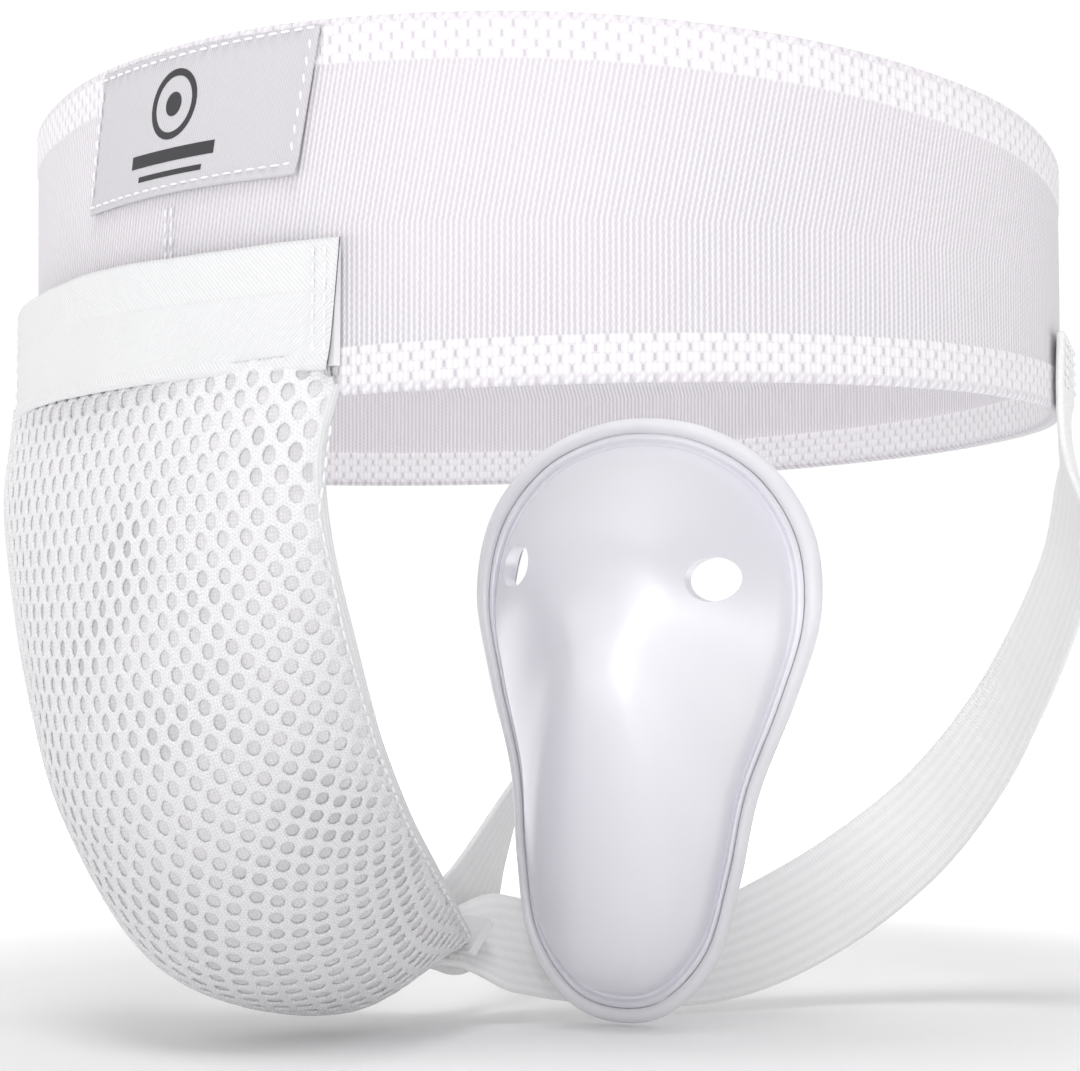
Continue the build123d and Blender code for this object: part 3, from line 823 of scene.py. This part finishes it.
def cell_centres():
    """Middles of the cells, in staggered rows that reach the side seams and the tip."""
    rows = int((DOWN[-1] - DOWN[0]) / MM / CELL_DOWN) + 2
    columns = int(GIRTH.max() / MM / CELL_ACROSS) + 2
    centres = []
    for row in range(rows):
        y = DOWN[0] / MM + row * CELL_DOWN
        for column in range(-columns, columns + 1):
            x = (column + (0.5 if row % 2 else 0.0)) * CELL_ACROSS
            if abs(x) <= half_girth(y) + CELL_ACROSS * 0.3 and y * MM <= DOWN[-1]:
                centres.append((x, y))
    return centres


def make_mesh_front():
    """Knitted mesh with staggered oval holes, each ringed by rounded bars."""
    rings = cell_rings()
    size = len(rings[0][0])
    points, lifts, faces = [], [], []
    for centre in cell_centres():
        start = len(points) * size
        for outline, lift in rings:
            points.append(outline + centre)
            lifts.append(np.full(size, lift))
        for ring in range(len(rings) - 1):
            for k in range(size):
                a = start + ring * size + k
                b = start + ring * size + (k + 1) % size
                faces.append([a, a + size, b + size, b])
    flat = np.concatenate(points)
    across, down = flat.T
    near_edge = smoothstep(0.0, 4.0, half_girth(down) - np.abs(across))
    lift = np.concatenate(lifts) * (FLAT_EDGE + (1 - FLAT_EDGE) * near_edge)
    fuzz = 0.06 * MM * np.sin(across * 5.1 + down * 3.3) * np.sin(down * 6.1)
    placed = on_pocket(across * MM, down * MM, lift + fuzz)
    made = add_mesh("pocket_mesh", placed, faces, flat[np.array(faces).ravel()])
    return weld(made, 0.02 * MM)


def mesh_material():
    cloth = Cloth("spacer mesh", 0.6, Sheen_Weight=0.25, Sheen_Roughness=0.4)
    across, down = cloth.uv()
    zigzag = cloth.times(cloth.wave(across, CELL_ACROSS / 4), 0.5)
    loops = cloth.wave(cloth.plus(down, zigzag), 0.9)
    strands = cloth.wave(across, 0.7)
    yarn = cloth.noise(700.0, 2.0)
    height = cloth.plus(cloth.times(loops, 0.6), cloth.times(strands, 0.4))
    height = cloth.plus(height, cloth.times(yarn, 0.5))
    colour = cloth.mix(cloth.remap(height, 0.3, 1.2), grey(0.70, 0.02, 0.012), grey(0.84, 0.012))
    return cloth.finish(colour, height, 0.14 * MM)


def make_backing():
    """Fine knit layer just behind the mesh, seen through its holes."""
    down = np.linspace(DOWN[0], DOWN[-1], 161)
    share = np.linspace(-0.995, 0.995, 121)
    girth = np.interp(down, DOWN, GIRTH)[:, None]
    across = share[None, :] * girth
    near_edge = smoothstep(0.0, 6.0 * MM, girth - np.abs(across))
    lift = -MESH_DEPTH * (FLAT_EDGE + (1 - FLAT_EDGE) * near_edge) - 0.03 * MM
    front = on_pocket(across, down[:, None] + 0 * across, lift)
    back = on_pocket(across, down[:, None] + 0 * across, lift - BACKING_THICKNESS)
    return slab("pocket_mesh_backing", front, back, share * BACKING_HALF_WIDTH, down / MM)


def backing_material():
    cloth = Cloth("mesh backing", 0.8)
    across, down = cloth.uv()
    knit = cloth.times(cloth.wave(across, 0.8), cloth.wave(down, 0.8))
    # painted shade: random darker patches on the white backing, seen through the mesh's holes
    patches = cloth.remap(cloth.noise(42.0, 2.0), 0.5, 0.68, 0.0, 1.0)
    colour = cloth.mix(knit, grey(0.66, 0.022, 0.014), grey(0.80, 0.022, 0.014))
    colour = cloth.mix(cloth.times(patches, 0.45), colour, grey(0.4, 0.02))
    return cloth.finish(colour, knit, 0.1 * MM)


def make_lining():
    """Soft back panel between the side seams, bowed forwards where it meets the band."""
    seam, front = pocket_lines(121)
    share = np.linspace(-1, 1, 91)[None, :]
    down = np.linspace(0, 1, len(seam))[:, None]
    bow = np.interp(down, *np.array(LINING_BOW).T) * MM
    forward = unit(np.stack([front[:, 0] - seam[:, 1], front[:, 1] - seam[:, 2]], axis=1))
    wrinkle = 0.5 * MM * np.sin(5 * share + 9 * down) * np.sin(13 * down - 3 * share)
    depth = (bow + wrinkle * smoothstep(0, 0.2, down)) * (1 - share**2)
    x = (seam[:, 0:1] - LINING_INSET) * share
    layers = []
    for lift in (0.0, LINING_THICKNESS):
        y = seam[:, 1:2] + forward[:, 0:1] * (depth + lift)
        z = seam[:, 2:3] + forward[:, 1:2] * (depth + lift)
        layers.append(np.stack([x, y, z], axis=-1))
    return slab("pocket_lining", *layers, share[0] * LINING_HALF_WIDTH, arc_lengths(front) / MM)


def lining_material():
    cloth = Cloth("knit lining", 0.8, Sheen_Weight=0.3)
    across, down = cloth.uv()
    rib = cloth.wave(across, 0.9)
    knit = cloth.times(rib, cloth.remap(cloth.wave(down, 0.9), 0, 1, 0.5, 1.0))
    soft = cloth.remap(cloth.noise(30.0), 0.3, 0.7, 0.0, 0.4)
    colour = cloth.mix(knit, grey(0.66, 0.012), grey(0.79, 0.01))
    return cloth.finish(cloth.mix(soft, colour, grey(0.72, 0.015)), knit, 0.12 * MM)


def make_seam(side, name):
    """Rolled seam down one side of the pocket, where mesh and lining are sewn together."""
    seam, front = pocket_lines(141)
    path = seam * np.array([side, 1, 1])
    sideways = np.zeros(len(seam))
    forward = unit(np.stack([sideways, front[:, 0] - seam[:, 1], front[:, 1] - seam[:, 2]], axis=1))
    along = unit(np.gradient(path, axis=0))
    out = unit(np.cross(along, forward)) * -side
    turn = np.arange(12) * 2 * pi / 12
    loop = np.stack([SEAM_HALF_WIDTH * np.cos(turn), SEAM_HALF_DEPTH * np.sin(turn)], axis=1)
    path = path - forward * SEAM_BACK - out * SEAM_INSET
    return swept(name, path, out, forward, loop if side > 0 else loop[::-1])


# ---- leg straps
STRAP_WIDTH = 25.0 * MM
STRAP_THICKNESS = 1.5 * MM
STRAP_RIBS = 9
STRAP_RIB_HEIGHT = 0.16 * MM
STRAP_LIFT = 1.1 * MM  # its middle off the band, at the hip
STRAP_GATHER = 20.0 * MM  # over this length the strap narrows to its end in the pocket
STRAP_END = 0.45  # share of its width that is left there
HIP_TOP = -18.0 * MM
LEFT_HIP = radians(121.0)  # where the straps' ends are sewn on, from the front
RIGHT_HIP = radians(-138.0)
# Each stop is (x, y, z) in millimetres and the direction of the strap's width.
LEFT_ROUTE = [
    (1, -31, -149, -0.3, 0.55, 0.7),
    (5, -17, -149, -0.4, 0.6, 0.65), (8, 9, -154, -0.45, 0.5, 0.7), (17, 38, -155, -0.45, 0.35, 0.8),
    (28, 62, -145, -0.35, 0.1, 0.9), (43, 80, -128, -0.5, 0.1, 0.85), (57, 88, -110, -0.7, 0.15, 0.65),
    (71, 90, -90, -0.85, 0.3, 0.4), (89, 84, -67, -0.85, 0.45, 0.2), (103, 71, -51, -0.75, 0.65, 0.1),
]
RIGHT_ROUTE = [
    (-2, -31, -150, 0.1, -0.65, 0.7),
    (-8, -15, -146, 0.2, -0.6, 0.75), (-17, 4, -127, 0.4, -0.2, 0.85), (-35, 31, -105, 0.55, 0.2, 0.75),
    (-56, 55, -83, 0.7, 0.35, 0.6), (-73, 72, -63, 0.76, 0.5, 0.36), (-83, 80, -47, 0.76, 0.6, 0.12),
]


def hip_stops(angle):
    """Last two stops of a strap, flat on the outside of the band at the hip."""
    place, outward = band_point(np.array(angle), STRAP_LIFT)
    bottom = edge_height(band_low.z, REAR_BOTTOM, 0.0) - 1.0 * MM
    along = np.array([-outward[1], outward[0]]) * (1 if angle > 0 else -1)
    return [(*place / MM, height / MM, *along, 0.0) for height in (bottom, HIP_TOP)]


def make_strap(name, route, hip):
    """Webbing from the pocket's tip to the hip."""
    stops = np.array(route + hip_stops(hip), float)
    fine = np.linspace(0, len(stops) - 1, 180)
    path = through(stops[:, :3] * MM, fine)
    width = through(stops[:, 3:], fine)
    along = unit(np.gradient(path, axis=0))
    across = unit(width - along * np.sum(width * along, axis=1)[:, None])
    out = np.cross(along, across)
    loop = ribbon_loop(STRAP_WIDTH, STRAP_THICKNESS, STRAP_RIBS, STRAP_RIB_HEIGHT)
    gathered = STRAP_END + (1 - STRAP_END) * smoothstep(0.0, STRAP_GATHER, arc_lengths(path))
    made = swept(name + "_webbing", path, across, out, loop, gathered)
    dress(made, STRAP, "strap_elastic", None, name)
    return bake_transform(made)


def strap_material():
    cloth = Cloth("strap elastic", 0.7, Sheen_Weight=0.3)
    across, down = cloth.uv()
    pick = cloth.wave(down, 0.8)
    yarn = cloth.wave(across, 0.55)
    height = cloth.plus(cloth.times(pick, 0.6), cloth.times(yarn, 0.5))
    rib = cloth.wave(across, STRAP_WIDTH / MM / STRAP_RIBS)
    colour = cloth.mix(rib, grey(0.82), grey(0.88))
    colour = cloth.mix(cloth.times(pick, 0.35), colour, grey(0.8, 0.005))
    return cloth.finish(colour, height, 0.09 * MM)


# ---- cup
# Half outline of the flange in its own plane, from foot to top, in millimetres.
CUP_OUTLINE = [
    (0.0, -67.7), (12.0, -64.3), (22.0, -52.0), (26.3, -34.0), (29.3, -14.0),
    (36.0, 7.0), (40.5, 26.0), (38.0, 44.0), (28.0, 58.0), (14.0, 65.6), (0.0, 67.7),
]
CUP_HALF_WIDTH = max(x for x, y in CUP_OUTLINE)
CUP_HALF_HEIGHT = CUP_OUTLINE[-1][1]
# Dome levels: height above the flange, part of the width, lowest and highest place.
CUP_LEVELS = [
    (0.0, 0.85, -61.5, 61.5), (7.0, 0.80, -59.0, 59.0), (15.0, 0.71, -49.0, 54.0),
    (23.0, 0.57, -26.0, 47.0), (29.0, 0.38, -4.0, 39.0), (31.5, 0.20, 8.0, 30.0), (32.0, 0.0, 19.0, 19.0),
]
CUP_WALL = 2.4
VENT_RADIUS = 4.75
VENTS = [(-22.5, 33.0), (22.5, 33.0)]
# Sections of the flange and of its soft edge: inset from the outline, and height.
FLANGE_BEAD = [(3.6, -1.2), (3.6, 0.2), (4.1, 0.7), (4.6, 0.95), (5.1, 0.7), (5.5, 0.15)]
FLANGE_BACK = [(8.8, -2.4), (5.0, -2.4), (3.8, -2.2)]
EDGE_FACE = [(3.4, -0.6), (3.4, 0.25), (2.9, 0.75)]
EDGE_BACK = [(2.9, -3.2), (3.4, -2.6)]

CUP_CENTRE = np.array([34.2, 2.4, -99.4]) * MM
CUP_FACING = radians(31.0)  # turned from the front towards the wearer's left
CUP_LEAN = tan(radians(4.9))  # sideways
CUP_NOD = tan(radians(2.3))  # forwards
CUP_ACROSS = np.array([cos(CUP_FACING), sin(CUP_FACING), 0.0])
CUP_FORWARD = np.array([sin(CUP_FACING), -cos(CUP_FACING), 0.0])
CUP_UP = unit(np.array([0.0, 0.0, 1.0]) + CUP_ACROSS * CUP_LEAN + CUP_FORWARD * CUP_NOD)
CUP_NORMAL = unit(CUP_FORWARD - CUP_UP * (CUP_FORWARD @ CUP_UP))
CUP_AXES = np.array([np.cross(CUP_UP, CUP_NORMAL), CUP_UP, CUP_NORMAL])
CUP_STEPS = 220


def cup_outline():
    """Smooth closed outline, anticlockwise from the foot."""
    closed = CUP_OUTLINE + [(-x, y) for x, y in reversed(CUP_OUTLINE[1:-1])]
    fine = np.linspace(0, len(closed), 1201)
    return evenly(through(closed, fine, closed=True), CUP_STEPS + 1)[:-1]


def from_cup(x, y, n):
    """Place from coordinates in the cup's own plane, in millimetres."""
    x, y, n = np.broadcast_arrays(x, y, n)
    return CUP_CENTRE + MM * np.stack([x, y, n], axis=-1) @ CUP_AXES


def dome_rings(inset, sink, count):
    """Rings of points from the foot of the dome to its top."""
    outline = cup_outline()
    levels = through(CUP_LEVELS, np.linspace(0, len(CUP_LEVELS) - 1, count))
    rings = []
    for height, part, lowest, highest in levels:
        wide = max(part - inset / CUP_HALF_WIDTH, 0.0)
        tall = max((highest - lowest - 2 * inset) / (2 * CUP_HALF_HEIGHT), 0.0)
        x = outline[:, 0] * wide
        y = (lowest + highest) / 2 + outline[:, 1] * tall
        rings.append(from_cup(x, y, height - sink))
    return rings


def flange_ring(inset, n):
    outline = cup_outline()
    x = outline[:, 0] * (CUP_HALF_WIDTH - inset) / CUP_HALF_WIDTH
    y = outline[:, 1] * (CUP_HALF_HEIGHT - inset) / CUP_HALF_HEIGHT
    return from_cup(x, y, n)


def closed_surface(name, rings):
    """Mesh through rings of points and back to the first ring."""
    points = np.array(rings + rings[:1])
    rows, columns = points.shape[:2]
    return add_grid(name, points, np.arange(float(columns)), np.arange(float(rows)), wrap_columns=True)


def make_cup_shell():
    """Domed shell with a beaded flange and two vents."""
    outer = dome_rings(0.0, 0.0, 60)
    inner = dome_rings(CUP_WALL, CUP_WALL, 60)[::-1]
    rim = [flange_ring(inset, n) for inset, n in FLANGE_BEAD]
    back = [flange_ring(inset, n) for inset, n in FLANGE_BACK]
    made = weld(closed_surface("cup_dome", rim + outer + inner + back), 0.03 * MM)
    for x, y in VENTS:
        cut_vent(made, x, y)
    bpy.context.view_layer.update()
    made.data.set_sharp_from_angle(angle=radians(38))
    return made


def cut_vent(shell, x, y):
    bpy.ops.mesh.primitive_cylinder_add(vertices=72, radius=VENT_RADIUS * MM, depth=0.09)
    cutter = bpy.context.active_object
    cutter.rotation_mode = "QUATERNION"
    cutter.rotation_quaternion = Vector(CUP_NORMAL).to_track_quat("Z", "Y")
    cutter.location = from_cup(x, y, 20.0)
    cut = shell.modifiers.new("vent", "BOOLEAN")
    cut.operation = "DIFFERENCE"
    cut.solver = "EXACT"
    cut.object = cutter
    bpy.context.view_layer.objects.active = shell
    bpy.ops.object.modifier_apply(modifier=cut.name)
    bpy.data.objects.remove(cutter)


def make_cup_trim():
    """Soft edge moulded round the flange: rounded outside, thinning towards the bead."""
    turn = np.linspace(0.5 * pi, 1.5 * pi, 11)
    outside = [(2.1 + 2.1 * cos(a), -1.2 + 2.2 * sin(a)) for a in turn]
    rings = [flange_ring(inset, n) for inset, n in EDGE_FACE + outside + EDGE_BACK]
    return face_outwards(closed_surface("cup_soft_edge", rings))


def plastic_material():
    cloth = Cloth("pearly cup plastic", 0.42, Metallic=0.4, Coat_Weight=0.3, Coat_Roughness=0.28)
    cloud = cloth.remap(cloth.noise(9.0, 2.0), 0.35, 0.65, 0.0, 1.0)
    colour = cloth.mix(cloud, (0.80, 0.79, 0.85, 1.0), (0.86, 0.855, 0.89, 1.0))
    return cloth.finish(colour, cloth.noise(1600.0, 1.0), 0.004 * MM)


def edge_material():
    cloth = Cloth("soft edge", 0.35, Coat_Weight=0.3, Coat_Roughness=0.15)
    cloud = cloth.noise(60.0, 2.0)
    colour = cloth.mix(cloud, (0.70, 0.70, 0.735, 1.0), (0.78, 0.78, 0.805, 1.0))
    return cloth.finish(colour, cloud, 0.03 * MM)


# ---- building it
THREAD = thread_material()
TAPE = trim_material()
STRAP = strap_material()
INK = Cloth("dark thread", 0.6).finish(grey(0.035, 0.003))


def dress(thing, material, slot, body, *nodes):
    """Gives a piece its material and its place among the CAD nodes and bodies."""
    thing.data.materials.append(material)
    if nodes:
        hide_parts(*nodes)
    if body:
        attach(thing, body)
    return thing


dress(make_band(), band_material(), "elastic_band", "waistband", "waistband_elastic")
dress(make_label(), label_material(), "satin_label", "waistband", "woven_label")
dress(make_trim(), TAPE, "twill_tape", "waistband", "pocket_trim")

patch("label_ring", circle(*EMBLEM, 7.0), circle(*EMBLEM, 5.6))
patch("label_dot", circle(*EMBLEM, 2.4))
patch("label_bar_wide", bar(-3.0, -6.6, 26.0, 2.6))
patch("label_bar_narrow", bar(-3.0, -10.3, 20.0, 1.1))


def from_trim(point):
    return unit(np.array([point[0], point[1] - TRIM_CENTRE_Y, 0.0]))


def from_pocket(point):
    return unit(np.array([point[0], 0.3 * point[1], 0.0]))


def sew(body, outward, *nodes):
    for node in nodes:
        dress(thread_from(node + "_thread", node, outward), THREAD, "thread", body, node)


sew("waistband", from_band, "band_join_stitching", "label_stitching")
sew("waistband", from_trim, "trim_end_stitching_left", "trim_end_stitching_right")
sew("waistband", from_band, "hip_stitching_left", "hip_stitching_right")
sew("pocket", from_pocket, "pocket_seam_stitching_left", "pocket_seam_stitching_right")

# These small CAD pieces stay as they are, and only get the tape's material.
for node in ("trim_end_fold_left", "trim_end_fold_right", "pocket_tip_tape"):
    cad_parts[node].data.materials.clear()
    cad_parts[node].data.materials.append(TAPE)


def flex(thing):
    """Bakes the placement of a piece of the pocket's cloth into its mesh."""
    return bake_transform(thing)


mesh_front = flex(dress(make_mesh_front(), mesh_material(), "spacer_mesh", None, "pocket_front_mesh"))
backing = flex(dress(make_backing(), backing_material(), "lining", None))
lining = flex(dress(make_lining(), lining_material(), "lining", None, "pocket_back_lining"))
for side, name in ((1, "pocket_seam_left"), (-1, "pocket_seam_right")):
    flex(dress(make_seam(side, name), lining_material(), "lining", None))

make_strap("leg_strap_left", LEFT_ROUTE, LEFT_HIP)
make_strap("leg_strap_right", RIGHT_ROUTE, RIGHT_HIP)

dress(make_cup_shell(), plastic_material(), "cup_plastic", "cup", "cup_shell")
dress(make_cup_trim(), edge_material(), "soft_edge", "cup", "cup_edge_trim")


# ---- floor and light
def make_stage():
    """White floor that fades into a white backdrop, so that no horizon shows."""
    bpy.ops.mesh.primitive_plane_add(size=16.0, location=(0, 0, cad_low.z - 0.5 * MM))
    floor = bpy.context.active_object
    floor.name = "floor"
    cloth = Cloth("white floor", 0.9, Emission_Color=(1.0, 1.0, 1.0, 1.0))
    far = cloth.node("ShaderNodeVectorMath", {0: cloth.place()}, operation="LENGTH").outputs["Value"]
    cloth.put(cloth.shader.inputs["Emission Strength"], cloth.remap(far, 0.15, 0.6, 0.04, 1.0))
    floor.data.materials.append(cloth.finish(grey(0.9)))

    bpy.ops.mesh.primitive_ico_sphere_add(subdivisions=4, radius=8.0)
    backdrop = bpy.context.active_object
    backdrop.name = "backdrop"
    glow = {"Emission_Color": (1.0, 1.0, 1.0, 1.0), "Emission_Strength": 1.0}
    backdrop.data.materials.append(Cloth("white backdrop", 0.9, **glow).finish(grey(0.0)))
    backdrop.visible_diffuse = False
    backdrop.visible_glossy = False
    backdrop.visible_transmission = False
    backdrop.visible_shadow = False


def make_light(name, place, aim, size, power, in_reflections=True):
    data = bpy.data.lights.new(name, "AREA")
    data.shape = "DISK"
    data.size = size
    data.energy = power
    light = bpy.data.objects.new(name, data)
    bpy.context.scene.collection.objects.link(light)
    light.location = place
    light.visible_camera = False
    light.visible_glossy = in_reflections
    light.rotation_mode = "QUATERNION"
    light.rotation_quaternion = (Vector(aim) - Vector(place)).to_track_quat("-Z", "Y")


def make_world(strength):
    world = bpy.data.worlds.new("white world")
    world.use_nodes = True
    background = world.node_tree.nodes["Background"]
    background.inputs["Color"].default_value = (1.0, 1.0, 1.0, 1.0)
    background.inputs["Strength"].default_value = strength
    bpy.context.scene.world = world


make_stage()
make_world(0.56)
make_light("key", (0.64, -0.76, 0.28), (0.0, 0.0, -0.06), 0.5, 0.5)
make_light("fill", (-0.6, -0.9, 0.3), (0.0, 0.0, -0.06), 0.8, 0.75)
make_light("top", (0.35, -0.42, 0.95), (0.0, 0.05, -0.1), 0.5, 4.4, in_reflections=False)
make_light("back", (-0.5, 0.9, 0.45), (0.0, 0.0, -0.06), 1.0, 1.2)
make_light("low", (0.67, -0.52, -0.115), (0.0, 0.05, -0.04), 0.2, 0.9)
make_light("inside", (0.04, -0.03, 0.17), (-0.09, 0.07, 0.0), 0.1, 0.11, in_reflections=False)
bpy.context.scene.view_settings.view_transform = "Standard"
